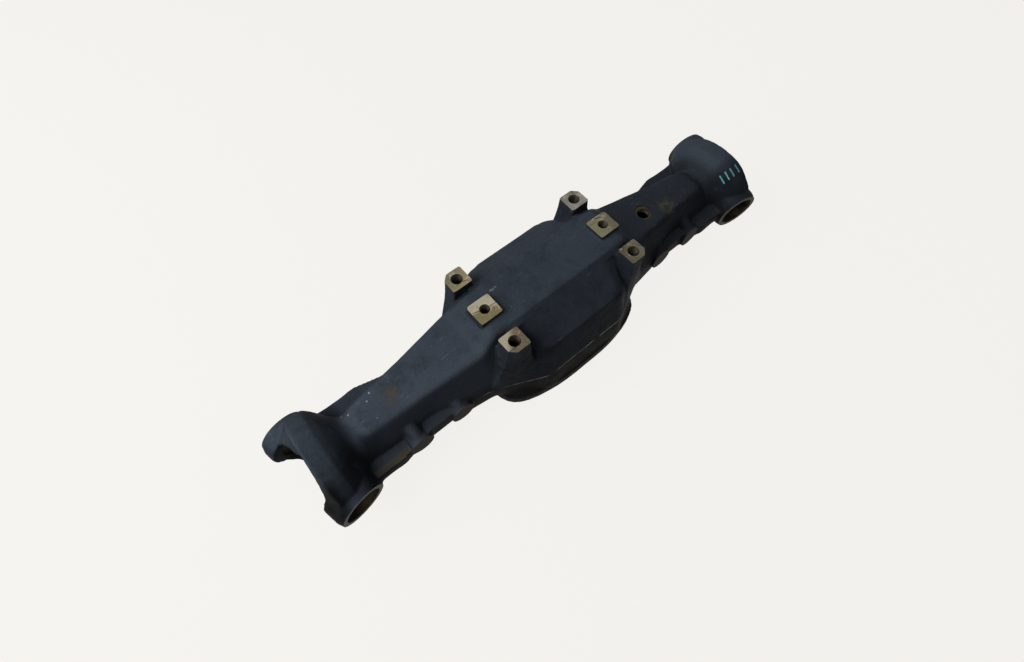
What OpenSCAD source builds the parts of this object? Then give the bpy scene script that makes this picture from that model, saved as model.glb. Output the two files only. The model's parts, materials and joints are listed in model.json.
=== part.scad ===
// Housing of a steering drive axle, cast in one piece.
// X runs along the axle, Z points up, the carrier flange lies on z = 0.
// All heights named below are measured from the shaft axis.

/* [Overall] */
// Distance between the two kingpin centres
kingpin_span = 1200; // [1120:10:1300]
// Height of the shaft axis over the carrier flange's machined face
axis_h = 84; // [82:1:95]
// Thickness of the cast walls
wall = 16; // [12:1:20]

/* [Centre body] */
// Height of the flat top
body_top_h = 150; // [140:1:165]
// Width of the flat top, from ridge to ridge
body_top_w = 108; // [90:1:130]
// Length of the flat top
body_top_l = 372; // [350:1:390]
// Height of the foot of the sloping flanks
flank_h = 92; // [80:1:105]
// Width across the feet of the flanks
flank_w = 264; // [240:1:280]
// Width at the parting plane
body_w = 302; // [285:1:320]
// Length over which the body keeps its full width
body_l = 220; // [160:1:250]
// Depth of the bowl below the shaft axis
bowl_d = 66; // [62:1:72]
// Width across the bottom of the bowl
bowl_w = 318; // [306:1:322]

/* [Arms] */
// Distance from the centre to the root of an arm
arm_root_x = 222; // [210:1:240]
// Distance from the centre to the end of an arm
arm_end_x = 494; // [480:1:504]
// Height of the arm's top at its root
arm_root_h = 121; // [110:1:130]
// Height of the arm's top at its end
arm_end_h = 78; // [74:1:84]
// Drop of the top of the arm that carries the filler
filler_arm_drop = 10; // [0:1:12]
// Width of the arm's top at its root
arm_root_top_w = 132; // [116:1:140]
// Width of the arm's top at its end
arm_end_top_w = 74; // [66:1:80]
// Width of the arm at the parting plane, at its root
arm_root_w = 200; // [190:1:210]
// Width of the arm at the parting plane, at the inner side bosses
arm_boss_w = 176; // [164:1:184]
// Distance from the centre to the arm's waist
arm_waist_x = 350; // [340:1:380]
// Width of the arm at the parting plane, at its waist
arm_waist_w = 134; // [126:1:144]
// Width of the arm at the parting plane, at its end
arm_end_w = 138; // [130:1:146]
// Depth of the arm below the shaft axis
arm_d = 62; // [56:1:66]

/* [Bells] */
// Overhang of the bell's open edge past the kingpin centre
bell_over = 6; // [2:1:12]
// Distance from the arm's end to the bottom of the neck groove
neck_l = 26; // [20:1:32]
// Height of the neck groove
neck_h = 63; // [60:1:70]
// Width of the neck at the parting plane
neck_w = 142; // [132:1:152]
// Depth of the scoop in the neck's upper corner, on the bosses' side
neck_scoop = 18; // [0:1:22]
// Height of the bell at its crown
bell_h = 109; // [104:1:116]
// Depth of the bell below the shaft axis
bell_d = 80; // [76:1:81]
// Width of the crown between the bell's shoulders
bell_top_w = 110; // [90:1:120]
// Width across the bell's shoulders
bell_w = 224; // [210:1:228]
// Height of the bell's shoulders
bell_shoulder_h = 53; // [45:1:60]
// Length of the bell's full section
bell_l = 40; // [30:1:50]
// Thickness of the bell's wall at its open edge
bell_wall = 15; // [12:1:18]

/* [Kingpin ears] */
// Distance from the kingpin's centre to the ears' machined faces on the bosses' side
ear_l = 121; // [116:1:126]
// Distance from the kingpin's centre to the far ears' machined faces
far_ear_l = 114; // [112:1:118]
// Width of the gap between the ears
fork_gap = 150; // [140:1:160]
// Inclination of the kingpin towards the wheel
kingpin_tilt = 11.3; // [8:0.1:13]
// Inclination of the kingpin about the axle
kingpin_caster = 4.5; // [0:0.5:6]
// Height of the kingpin's centre
kingpin_rise = 4; // [0:1:8]
// Outer diameter of the ears on the bosses' side
ear_d = 113; // [108:1:118]
// Outer diameter of those ears' machined rims
rim_d = 104; // [98:1:107]
// Outer diameter of the far ears
far_ear_d = 108; // [102:1:112]
// Outer diameter of the far ears' machined rims
far_rim_d = 98; // [90:1:101]
// Length of the bevel from an ear to its rim
rim_bevel = 12; // [8:1:16]
// Diameter of the bearing seats on the bosses' side
seat_d = 84; // [76:1:90]
// Diameter of the bearing seats in the far ears
far_seat_d = 76; // [70:1:82]
// Depth of the bearing seat
seat_l = 28; // [24:1:30]
// Diameter of the kingpin's passage behind the seat
pin_d = 58; // [50:1:64]

/* [Pads] */
// Distance between the two rows of pads, along the axle
pad_row = 332; // [320:1:340]
// Distance between neighbouring pads of a row
pad_pitch = 93; // [86:1:98]
// Height of the pads' machined faces
pad_h = 158; // [154:1:164]
// Length of an outer pad along the axle
pad_l = 48; // [44:1:54]
// Width of an outer pad across the axle
pad_w = 46; // [42:1:52]
// Length of a middle pad along the axle
mid_pad_l = 54; // [48:1:58]
// Width of a middle pad across the axle
mid_pad_w = 51; // [46:1:56]
// Cut across the outermost corner of an outer pad
pad_cut = 13; // [8:1:18]
// Draft of the middle pads' posts, in degrees
pad_draft = 5; // [2:0.5:8]
// Spread of an outer pad's post towards the arm
post_spread = 46; // [30:1:60]
// Spread of an outer pad's post towards the centre
post_lean = 12; // [4:1:20]
// Core diameter of the outer pads' tapped holes
outer_tap_d = 21; // [17:0.5:24]
// Core diameter of the middle pads' tapped holes
mid_tap_d = 17.5; // [14:0.5:21]
// Depth of the pads' tapped holes
tap_l = 46; // [36:1:52]
// Width of the countersink round a tapped hole
sink = 2.5; // [1.5:0.5:3.5]

/* [Side bosses and rails] */
// Distance from the centre to the inner side bosses
boss_in_x = 309; // [300:1:320]
// Distance from the centre to the outer side bosses
boss_out_x = 415; // [405:1:425]
// Distance from the axle's middle plane to the bosses' faces
boss_y = 96; // [92:1:100]
// Diameter of a boss at its face
boss_d = 56; // [50:1:60]
// Distance from the axle's middle plane to the web between the bosses
web_y = 89; // [82:1:91]
// Height of the web between the bosses
web_h = 42; // [34:1:50]
// Width of the rib on a boss
rib_w = 30; // [24:1:36]
// Height at which a boss's rib leaves the arm's flank
rib_h = 60; // [52:1:66]
// Distance from the axle's middle plane to the rails' faces
rail_y = 100; // [95:1:103]
// Height of a rail
rail_h = 32; // [26:1:40]
// Height of a rail's upper edge
rail_top_h = 12; // [8:1:18]
// Distance from the centre to the rails' full width
rail_x = 462; // [450:1:475]
// Length of a rail's tapered start
rail_taper = 66; // [50:1:80]
// Distance from the axle's middle plane to the tapered start's edge
rail_start_y = 84; // [78:1:88]

/* [Carrier flange] */
// Length of the flange along the axle
flange_l = 432; // [420:2:450]
// Width of the flange
flange_w = 324; // [322:1:334]
// Spread of the bowl's ends from the parting plane down to the flange
bowl_flare = 20; // [10:1:30]
// Length between the flange's corners
flange_corner_l = 376; // [360:2:390]
// Width between the flange's corners
flange_corner_w = 276; // [266:2:286]
// Length of the flange's straight sides
flange_side_l = 170; // [150:2:190]
// Width of the flange's straight ends
flange_end_w = 176; // [160:2:200]
// Thickness of the flange
flange_t = 26; // [22:1:32]
// Diameter of the carrier's opening
carrier_d = 254; // [240:1:258]
// Diameter of the bolt circle
carrier_pcd = 290; // [284:1:294]
// Number of carrier bolts
carrier_n = 12; // [8:1:14]
// Core diameter of the carrier bolts' tapped holes
carrier_tap_d = 12; // [10:0.5:14]
// Depth of the carrier bolts' tapped holes
carrier_tap_l = 28; // [22:1:30]

/* [Shaft passage and filler] */
// Diameter of the shaft's passage through an arm's end wall
shaft_d = 70; // [60:1:76]
// Diameter of the shaft seal's seat
seal_d = 84; // [80:1:90]
// Thickness of the wall behind the seal
seal_wall = 12; // [8:1:16]
// Distance from the centre to the filler
filler_x = 306; // [280:1:340]
// Offset of the filler towards the bosses
filler_y = 8; // [0:1:20]
// Core diameter of the filler's thread
filler_d = 30; // [24:1:36]
// Diameter of the filler's spot face
filler_spot_d = 44; // [38:1:50]
// Depth of the filler's spot face
filler_spot_l = 4; // [2:0.5:6]

/* [Hidden] */
$fn = 64;
eps = 0.5;

half_span = kingpin_span / 2;
x_body = body_l / 2;
x_top = body_top_l / 2;
x_neck = arm_end_x + neck_l;
x_open = half_span + bell_over;
x_bell = x_open - bell_l;
x_core = x_neck - wall - neck_l;
// Rise of the bell from its full section to its open edge
bell_rise = 6;
// Depth of the bell's lower shoulders, as far under the crown as the upper ones
bell_low_h = bell_shoulder_h * bell_d / bell_h;
// Distance by which the arm's lower sides draw in towards the bottom
arm_draft = 4;
// Distance from a boss's face back to the start of its rib
rib_back = 4;
// Inset of a fork arm under the bell's skin, and its length along the ear
arm_inset = 1.5;
arm_l = 24;
// Joint space, midway between the bell's crown and its bottom
joint_r = (bell_h + bell_d) / 2 - bell_wall;
joint_z = (bell_h - bell_d) / 2;
// Radii of the joint space's mouth, inside and outside the round part
mouth_in = 3;
mouth_out = 4;

// Easing length of the changes of section
ease = 9;
// Points on each eased corner of a section
corner_n = 4;
// Largest share of an edge that the easing of one corner takes
ease_share = 0.48;

// Laws along the axle: half widths and heights of the four corners of a half section
top_y = [[0, body_top_w / 2], [x_top, body_top_w / 2], [arm_root_x, arm_root_top_w / 2],
    [arm_end_x, arm_end_top_w / 2], [x_neck, arm_end_top_w / 2 - neck_l / 4],
    [x_bell, bell_top_w / 2], [x_open, bell_top_w / 2]];
function top_law(drop) = [[0, body_top_h], [x_top, body_top_h], [arm_root_x, arm_root_h - drop],
    [arm_end_x, arm_end_h - drop / 2], [x_neck, neck_h - drop / 4], [x_bell, bell_h - bell_rise],
    [x_open, bell_h]];
plain_top_z = top_law(0);
filler_top_z = top_law(filler_arm_drop);
flank_y = [[0, flank_w / 2], [x_body, flank_w / 2], [arm_root_x, (arm_root_top_w + arm_root_w) / 4],
    [arm_waist_x, lookup(arm_waist_x, top_y) / 2 + arm_waist_w / 4],
    [arm_end_x, (arm_end_top_w + arm_end_w) / 4], [x_neck, (arm_end_top_w + neck_w) / 4],
    [x_bell, bell_w / 2], [x_open, bell_w / 2]];
flank_z = [[0, flank_h], [x_body, flank_h], [arm_root_x, arm_root_h / 2], [arm_end_x, arm_end_h / 2],
    [x_neck, neck_h / 2], [x_bell, bell_shoulder_h], [x_open, bell_shoulder_h]];
mid_y = [[0, body_w / 2], [x_body, body_w / 2], [arm_root_x, arm_root_w / 2],
    [boss_in_x, arm_boss_w / 2], [arm_waist_x, arm_waist_w / 2], [arm_end_x, arm_end_w / 2],
    [x_neck, neck_w / 2], [x_bell, bell_w / 2], [x_open, bell_w / 2]];
mid_z = [[0, 0], [arm_end_x, 0], [x_bell, -bell_low_h], [x_open, -bell_low_h]];
low_y = [[0, bowl_w / 2], [x_body, bowl_w / 2], [arm_root_x, arm_root_w / 2 - arm_draft],
    [boss_in_x, arm_boss_w / 2 - arm_draft], [arm_waist_x, arm_waist_w / 2 - arm_draft],
    [arm_end_x, arm_end_w / 2 - arm_draft], [x_neck, arm_end_top_w / 2], [x_bell, bell_top_w / 2],
    [x_open, bell_top_w / 2]];
low_z = [[0, -bowl_d], [x_body, -bowl_d], [arm_root_x, -arm_d], [arm_end_x, -arm_d],
    [x_neck, -arm_d], [x_bell, bell_rise - bell_d], [x_open, -bell_d]];
scoop = [[0, 0], [arm_end_x, 0], [x_neck, neck_scoop], [x_bell, 0], [x_open, 0]];
// Easing lengths of the section's corners, along the axle
ridge_r = 14;
arch_r = 53;
foot_r = 16;
arm_flank_r = 40;
rim_r = 14;
bowl_r = 10;
arm_low_r = 26;
top_r = [[0, ridge_r], [arm_end_x, ridge_r], [x_bell, arch_r], [x_open, arch_r]];
flank_r = [[0, foot_r], [x_body, foot_r], [arm_root_x, arm_flank_r], [x_open, rim_r]];
low_r = [[0, bowl_r], [x_body, bowl_r], [arm_root_x, arm_low_r], [arm_end_x, arm_low_r],
    [x_bell, arch_r], [x_open, arch_r]];

function law(t, x) = (lookup(abs(x) - ease, t) + 2 * lookup(abs(x), t) + lookup(abs(x) + ease, t)) / 4;

function top_at(x) = law(x > 0 ? filler_top_z : plain_top_z, x);

// Corner c between p and n, eased over the length r along both edges
function eased(p, c, n, r, k) =
    let (a = c + (p - c) / norm(p - c) * min(r, ease_share * norm(p - c)),
         b = c + (n - c) / norm(n - c) * min(r, ease_share * norm(n - c)))
    [for (i = [0:k]) let (s = i / k) (1 - s) * (1 - s) * a + 2 * s * (1 - s) * c + s * s * b];

function eased_loop(pts, rs, k) =
    let (n = len(pts))
    [for (i = [0:n - 1]) each eased(pts[(i + n - 1) % n], pts[i], pts[(i + 1) % n], rs[i], k)];

// Share of the wall by which the core's ridges and flank feet draw in along the other direction
ridge_in = 0.6;
foot_in = 0.4;

// Section of the casting at x, drawn in by the depth d for the core
function half_section(x, d) = [
    [law(top_y, x) - d * ridge_in, top_at(x) - d],
    [law(flank_y, x) - d, law(flank_z, x) - d * foot_in],
    [law(mid_y, x) - d, law(mid_z, x)],
    [law(low_y, x) - d, law(low_z, x) + d]];
function section(x, d = 0, k = corner_n) =
    let (h = half_section(x, d),
         rs = [law(top_r, x), law(flank_r, x), law(flank_r, x), law(low_r, x)],
         near = [for (i = [3:-1:0]) [(i == 0 ? law(scoop, x) : 0) - h[i][0], h[i][1]]],
         rr = concat(rs, [for (i = [3:-1:0]) rs[i]]))
    [for (p = eased_loop(concat(h, near), rr, k)) [x, p[0], p[1]]];

function steps(a, b, n) = [for (i = [1:n]) a + (b - a) * i / n];
function both(h) = concat([for (i = [len(h) - 1:-1:1]) -h[i]], h);
skin_x = both(concat([0], [x_body - ease], steps(x_body - ease, x_body + ease, 3),
    steps(x_body + ease, x_top - ease, 3), steps(x_top - ease, arm_root_x + ease, 7),
    steps(arm_root_x + ease, arm_end_x - ease, 4), steps(arm_end_x - ease, x_neck + ease, 8),
    steps(x_neck + ease, x_open, 6)));
core_x = both(concat([0], [x_body], steps(x_body, arm_root_x, 4), steps(arm_root_x, x_core, 3)));

// Middle of a row of points
function middle(r) = [for (p = r) 1] * r / len(r);

// Solid through a row of sections with the same number of points
module loft(rows) {
    n = len(rows[0]);
    m = len(rows);
    last = (m - 1) * n;
    polyhedron(
        points = concat([for (r = rows) each r], [middle(rows[0]), middle(rows[m - 1])]),
        faces = concat(
            [for (i = [0:n - 1]) [m * n, (i + 1) % n, i]],
            [for (j = [0:m - 2]) for (i = [0:n - 1]) let (a = j * n + i, b = j * n + (i + 1) % n)
                each [[a, b + n, a + n], [a, b, b + n]]],
            [for (i = [0:n - 1]) [m * n + 1, last + i, last + (i + 1) % n]]));
}

// Local z runs along the kingpin: side 1 is the far ear, side -1 the ear on the bosses' side
module on_kingpin(end, side) {
    translate([end * half_span, 0, kingpin_rise])
        rotate([kingpin_caster, 0, 0])
            rotate([0, 0, -end * kingpin_tilt + (side < 0 ? 180 : 0)])
                rotate([-90, 0, 0])
                    children();
}

module ear(d, rim, l) {
    rotate_extrude()
        polygon([[0, 0], [d / 2, 0], [d / 2, l - rim_bevel], [rim / 2, l], [0, l]]);
}

module ear_bore(seat, l) {
    translate([0, 0, l - seat_l])
        cylinder(d = seat, h = seat_l + wall);
    cylinder(d = pin_d, h = l);
}

// Arm of the fork: blends one side of the bell's open edge into the ear
module fork_arm(end, side, seat) {
    hull() {
        loft([for (x = [x_open - bell_l / 2, x_open - arm_inset])
            let (p = section(x, arm_inset), n = len(p) / 2, o = side > 0 ? 0 : n)
            [for (i = [0:n - 1]) let (q = p[o + i]) [end * q[0], q[1], q[2]]]]);
        on_kingpin(end, side)
            translate([0, 0, fork_gap / 2 - arm_l / 2])
                cylinder(d = seat + wall, h = arm_l);
    }
}

// Space of the swivelling joint: round inside the bell, widening towards the wheel
module joint_space(end) {
    intersection() {
        translate([end * half_span, 0, joint_z])
            rotate([0, end * 90, 0])
                union() {
                    sphere(r = joint_r);
                    cylinder(r1 = joint_r - mouth_in, r2 = joint_r + mouth_out, h = ear_d);
                }
        on_kingpin(end, 1)
            cube([4 * ear_d, 4 * ear_d, fork_gap], center = true);
    }
}

// Bevel of a pad's plain corners, and of a middle pad's outermost corner
pad_bevel = 2;
mid_pad_cut = 4;

// Outline of a pad, local x towards the arm and local y away from the middle plane
function pad_outline(l, w, cut) = let (b = pad_bevel) [
    [l / 2, b - w / 2], [l / 2, w / 2 - cut], [l / 2 - cut, w / 2], [b - l / 2, w / 2],
    [-l / 2, w / 2 - b], [-l / 2, b - w / 2], [b - l / 2, -w / 2], [l / 2 - b, -w / 2]];

// Post under a middle pad, widening downwards into the flat top
module mid_post() {
    d = pad_h - body_top_h + wall;
    g = 2 * d * tan(pad_draft);
    loft([for (s = [0, 1])
        let (outline = pad_outline(mid_pad_l + s * g, mid_pad_w + s * g, mid_pad_cut))
        [for (p = outline) [p[0], p[1], pad_h - s * d]]]);
}

// Post under an outer pad, spreading down to the body's wall at the parting plane
module outer_post() {
    top = pad_outline(pad_l, pad_w, pad_cut);
    x_in = -pad_l / 2 - post_lean;
    x_out = pad_l / 2 + post_spread;
    y_in = -pad_w / 2;
    b = pad_bevel;
    wall_at = function (x) law(mid_y, pad_row / 2 + x) - pad_pitch - 2 * eps;
    foot = [[x_out, y_in], [x_out, wall_at(x_out)], [pad_l / 2, wall_at(pad_l / 2)],
        [x_in + b, wall_at(x_in)], [x_in, wall_at(x_in) - b], [x_in, y_in + b], [x_in + b, y_in],
        [x_out - b, y_in]];
    rows = 6;
    cuts = 3;
    loft([for (r = [0:rows]) let (s = r / rows, f = pow(s, 1.5))
        [for (i = [0:len(top) - 1]) let (j = (i + 1) % len(top)) for (c = [0:cuts - 1])
            let (a = top[i] + (top[j] - top[i]) * c / cuts, b = foot[i] + (foot[j] - foot[i]) * c / cuts,
                 q = a + (b - a) * f)
            [q[0], q[1], pad_h * (1 - s)]]]);
}

module each_pad() {
    for (end = [-1, 1])
        for (side = [-1, 0, 1])
            translate([end * pad_row / 2, side * pad_pitch, 0])
                mirror([end < 0 ? 1 : 0, 0, 0])
                    mirror([0, side < 0 ? 1 : 0, 0]) {
                        $outer = side != 0;
                        children();
                    }
}

module tapped(d, l) {
    translate([0, 0, -l])
        cylinder(d = d, h = l + eps);
    translate([0, 0, -sink - eps])
        cylinder(d1 = d - 2 * eps, d2 = d + 2 * sink + 2 * eps, h = sink + 2 * eps);
}

// Round boss on the arm's side, with a rib that climbs from its upper edge to the arm's flank
module side_boss(x) {
    sides = 24;
    r = rib_w / 2;
    y_in = arm_end_top_w / 2;
    translate([x, -y_in, 0])
        rotate([90, 0, 0])
            cylinder(d = boss_d, h = boss_y - y_in);
    loft([for (s = [0, 1])
        let (y = boss_y - rib_back + s * (y_in - boss_y), z = s * rib_h + (1 - s) * (boss_d / 2 - 1) - r)
        [for (i = [0:sides - 1]) let (a = 360 * i / sides) [x + r * cos(a), -y, z + r * sin(a)]]]);
}

module boss_web() {
    translate([boss_in_x, -web_y, -web_h / 2])
        cube([boss_out_x - boss_in_x, web_y - arm_end_top_w / 2, web_h]);
}

module rail() {
    translate([0, 0, rail_top_h - rail_h])
        linear_extrude(rail_h)
            polygon([[rail_x - rail_taper, arm_end_top_w / 2], [rail_x - rail_taper, rail_start_y],
                [rail_x, rail_y], [half_span - ear_d / 4, rail_y],
                [half_span - ear_d / 4, arm_end_top_w / 2]]);
}

// Outline with straight sides and ends and a corner between them, given by full lengths and widths
function oblong(end, corner, side) =
    let (q = [end, corner, side] / 2, h = concat(q, [for (i = [2:-1:0]) [-q[i][0], q[i][1]]]))
    eased_loop(concat(h, [for (i = [5:-1:0]) [h[i][0], -h[i][1]]]), [for (i = [0:11]) 2 * flange_t], 4);

flange_outline = oblong([flange_l, flange_end_w], [flange_corner_l, flange_corner_w],
    [flange_side_l, flange_w]);
// Outline of the bowl at the parting plane, inside the body's own wall
bowl_outline = oblong([flange_l - bowl_flare, flange_end_w], [flange_corner_l - bowl_flare,
    2 * law(mid_y, flange_corner_l / 2) - 4], [flange_side_l, body_w - 4]);

// Bowl that spreads from the parting plane to the carrier flange
module bowl() {
    z_low = flange_t / 2 - axis_h;
    loft([for (s = [0, 0.33, 0.67, 1]) [for (i = [0:len(flange_outline) - 1])
        let (a = bowl_outline[i], b = flange_outline[i] * (1 - 1 / flange_l), q = a + (b - a) * s)
        [q[0], q[1], s * z_low]]]);
}

module flange() {
    translate([0, 0, -axis_h])
        linear_extrude(flange_t)
            polygon(flange_outline);
}

module carrier_cuts() {
    translate([0, 0, -axis_h - eps])
        cylinder(d = carrier_d, h = axis_h);
    for (i = [0:carrier_n - 1])
        rotate([0, 0, 360 * (i + 0.5) / carrier_n])
            translate([carrier_pcd / 2, 0, -axis_h])
                mirror([0, 0, 1])
                    tapped(carrier_tap_d, carrier_tap_l);
}

module shaft_cuts() {
    for (end = [-1, 1])
        rotate([0, end * 90, 0]) {
            cylinder(d = shaft_d, h = half_span);
            translate([0, 0, x_core + seal_wall])
                cylinder(d = seal_d, h = half_span - x_core - seal_wall);
        }
}

module filler_cuts() {
    translate([filler_x, -filler_y, 0]) {
        cylinder(d = filler_d, h = body_top_h);
        translate([0, 0, top_at(filler_x) - filler_spot_l])
            cylinder(d = filler_spot_d, h = body_top_h);
    }
}

module core() {
    difference() {
        loft([for (x = core_x) section(x, wall, 1)]);
        each_pad()
            translate([0, 0, pad_h - tap_l - wall])
                cylinder(d = outer_tap_d + 1.5 * wall, h = tap_l + wall);
    }
}

module casting() {
    loft([for (x = skin_x) section(x)]);
    for (end = [-1, 1]) {
        on_kingpin(end, 1)
            ear(far_ear_d, far_rim_d, far_ear_l);
        on_kingpin(end, -1)
            ear(ear_d, rim_d, ear_l);
        fork_arm(end, 1, far_seat_d);
        fork_arm(end, -1, seat_d);
        mirror([end < 0 ? 1 : 0, 0, 0]) {
            side_boss(boss_in_x);
            side_boss(boss_out_x);
            boss_web();
            rail();
            mirror([0, 1, 0])
                rail();
        }
    }
    each_pad()
        if ($outer)
            outer_post();
        else
            mid_post();
    bowl();
    flange();
}

module axle_housing() {
    color([0.19, 0.21, 0.24])
        translate([0, 0, axis_h])
            difference() {
                casting();
                union() {
                    core();
                    carrier_cuts();
                    shaft_cuts();
                    filler_cuts();
                    for (end = [-1, 1]) {
                        joint_space(end);
                        on_kingpin(end, 1)
                            ear_bore(far_seat_d, far_ear_l);
                        on_kingpin(end, -1)
                            ear_bore(seat_d, ear_l);
                    }
                    translate([0, 0, pad_h])
                        each_pad()
                            tapped($outer ? outer_tap_d : mid_tap_d, tap_l);
                }
            }
}

axle_housing();
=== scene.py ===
"""Looks of a cast axle housing: the rough casting, its machined faces, its paint and its wear, in metres."""

import json
import math

import bmesh
import bpy
import numpy as np
from mathutils import Matrix, Vector, noise


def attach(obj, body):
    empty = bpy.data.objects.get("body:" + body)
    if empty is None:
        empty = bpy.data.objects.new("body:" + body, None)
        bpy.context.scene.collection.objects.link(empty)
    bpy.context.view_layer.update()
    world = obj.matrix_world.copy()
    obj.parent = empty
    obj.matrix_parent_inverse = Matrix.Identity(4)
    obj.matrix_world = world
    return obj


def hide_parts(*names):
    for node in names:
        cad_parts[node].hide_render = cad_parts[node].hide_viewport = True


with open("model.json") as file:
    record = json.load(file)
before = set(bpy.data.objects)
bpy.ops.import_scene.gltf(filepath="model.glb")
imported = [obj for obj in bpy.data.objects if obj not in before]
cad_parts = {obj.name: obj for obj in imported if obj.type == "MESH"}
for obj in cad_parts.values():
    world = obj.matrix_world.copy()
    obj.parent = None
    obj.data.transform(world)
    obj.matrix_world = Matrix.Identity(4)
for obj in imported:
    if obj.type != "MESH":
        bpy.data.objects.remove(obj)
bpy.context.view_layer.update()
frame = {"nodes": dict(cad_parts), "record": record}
NODE = "axle_housing"
MOUNTS = {m["name"]: m for m in frame["record"]["mounts"]}
MM = 0.001
ENDS = ("left", "right")
SIDES = ("lower", "upper")
UP = Vector((0, 0, 1))
DOWN = Vector((0, 0, -1))
SHAFT_H = MOUNTS["left_shaft_bore"]["pos_m"][2]
PAD_H = MOUNTS["pad_face"]["pos_m"][2]

# Casting: size of its mesh, its triangles, how near points of the solid are joined, and the sand mould's
# unevenness as waves in a metre and their depth
VOXEL = 2.4 * MM
TRIANGLES = 150_000
WELD = 1e-6
SWELL = ((9.0, 0.55 * MM), (34.0, 0.28 * MM))
# Rounds of easing, the stretch of the axle that they work on, the length over which they fade and the wear of
# outer edges: first all over, then the necks behind the bells, then the fork arms
EASING = ((7, 0, 700 * MM, 1 * MM, 0.15), (26, 484 * MM, 540 * MM, 22 * MM, 0.9),
          (14, 558 * MM, 700 * MM, 13 * MM, 0.7))
# Share of the way to its neighbours' middle that a point moves in a round
EASE_STEP = 0.5
# Edges with a sharper bend than this stay sharp
SHARP = math.radians(38)

# Crisp edges of the body, a few millimetres outside the solid's rounding: the metal that fills each up to its
# corner, in full and where it has faded, as (y, z over the shafts) in millimetres, and both half lengths
CREASES = ((((38, 150), (54, 150), (68, 139.6), (50, 138)),
            ((38, 148.5), (51.5, 146), (66, 138.5), (50, 138)), 125, 160),
           (((114, 105.4), (131.9, 92.2), (136.6, 69.6), (118, 84)),
            ((113, 103.5), (126.5, 91.5), (133.5, 70), (118, 84)), 85, 110))

# Metal left on a face for the machining, and room round a plug that closes a hole in the rough casting
STOCK = 8 * MM
PLUG = 1.5 * MM
SEAT_PLUG = 3 * PLUG
# Half sizes of what is milled off over the pads, the flange, an ear and a pair of side bosses
PAD_MILL = (240 * MM, 160 * MM)
FLANGE_MILL = (240 * MM, 180 * MM)
EAR_MILL = (75 * MM, 75 * MM)
BOSS_MILL = (83 * MM, 40 * MM)
# The side bosses' faces, which are no mount, from the axle's middle
BOSS_X = 362 * MM
BOSS_Y = 96 * MM
# How near a face of the solid is to a machined plane that it belongs to, and how nearly it faces the same way
FACE_NEAR = 1e-5
FACE_ALIKE = 0.999

# Depth of a bolt pattern's stated point under its face, and of a seal seat's stated point from its inner end
TAP_IN = 6 * MM
SEAL_IN = 15 * MM
# Metal that the boring takes off the solid's round openings, and the share of a passage that lies outwards
SKIM = 0.6 * MM
PASSAGE_OUT = 0.7
# Tapped holes: width of the countersink, pitch of the threads, their groove as a share of it, and their depth
SINK = 2.5 * MM
PITCH = {"pad_corner_bolts": 3.0 * MM, "pad_middle_bolts": 2.5 * MM, "carrier_bolts": 2.0 * MM}
GROOVE = 0.6
DEPTH = {"pad_corner_bolts": 46 * MM, "pad_middle_bolts": 46 * MM, "carrier_bolts": 28 * MM}
# Overrun of a tap and of a countersink past the face
TAP_OUT = 2 * MM
SINK_OUT = 1 * MM
# Filler: pitch, overrun of its tap, size of its spot face and fall of the arm's top round it
FILLER_PITCH = 2.0 * MM
FILLER_OUT = 1 * MM
FILLER_SPOT_R = 22 * MM
FILLER_SPOT_L = 4 * MM
FILLER_SLOPE = 0.137
# Corners of a round solid and of one turn of a thread
ROUND = 64
SCREW_ROUND = 40
# Share of x from which an axis counts as running along the axle
ALONG_AXLE = 0.9


def spot(name):
    return Vector(MOUNTS[name]["pos_m"])


def aim(name):
    return Vector(MOUNTS[name]["axis"]).normalized()


def size(name, key="r_mm"):
    return MOUNTS[name]["dims"][key] * MM


def mouth(name):
    """Middle of a round mount's outer end."""
    return spot(name) + aim(name) * size(name, "length_mm") / 2


def holes(name):
    """Places of a bolt pattern's holes, on the machined face."""
    dims = MOUNTS[name]["dims"]
    face = spot(name) + aim(name) * TAP_IN
    if "pcd_mm" in dims:
        turn = 2 * math.pi / dims["count"]
        r = size(name, "pcd_mm") / 2
        return [face + Vector((r * math.cos(a), r * math.sin(a), 0))
                for a in (turn * (i + 0.5) for i in range(dims["count"]))]
    across = (dims["spacing_x_mm"] * MM / 2, dims.get("spacing_y_mm", 0) * MM / 2)
    rows = (-1, 1) if across[1] else (0,)
    return [face + Vector((i * across[0], j * across[1], 0)) for i in (-1, 1) for j in rows]


def placed(point, axis):
    """Matrix that sets local +Z along axis at point and keeps local +X along the axle where it can."""
    up = Vector(axis).normalized()
    along = Vector((0, 1, 0)) if abs(up.x) > ALONG_AXLE else Vector((1, 0, 0))
    along = (along - up * along.dot(up)).normalized()
    return Matrix.Translation(point) @ Matrix((along, up.cross(along), up)).transposed().to_4x4()


# Solids for the machining

def lathe(bm, place, profile, segments=ROUND):
    """Adds a closed solid round local Z and returns its points; profile is (radius, height), axis to axis."""
    rings = []
    for r, z in profile:
        count = segments if r else 1
        turns = [2 * math.pi * i / segments for i in range(count)]
        rings.append([bm.verts.new(place @ Vector((r * math.cos(a), r * math.sin(a), z))) for a in turns])
    for low, high in zip(rings, rings[1:]):
        for i in range(segments):
            j = (i + 1) % segments
            corners = [low[i % len(low)], low[j % len(low)], high[j % len(high)], high[i % len(high)]]
            bm.faces.new(list(dict.fromkeys(corners)))
    return [v for ring in rings for v in ring]


def drill(bm, place, r, low, high, segments=ROUND):
    return lathe(bm, place, [(0, low), (r, low), (r, high), (0, high)], segments)


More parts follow.
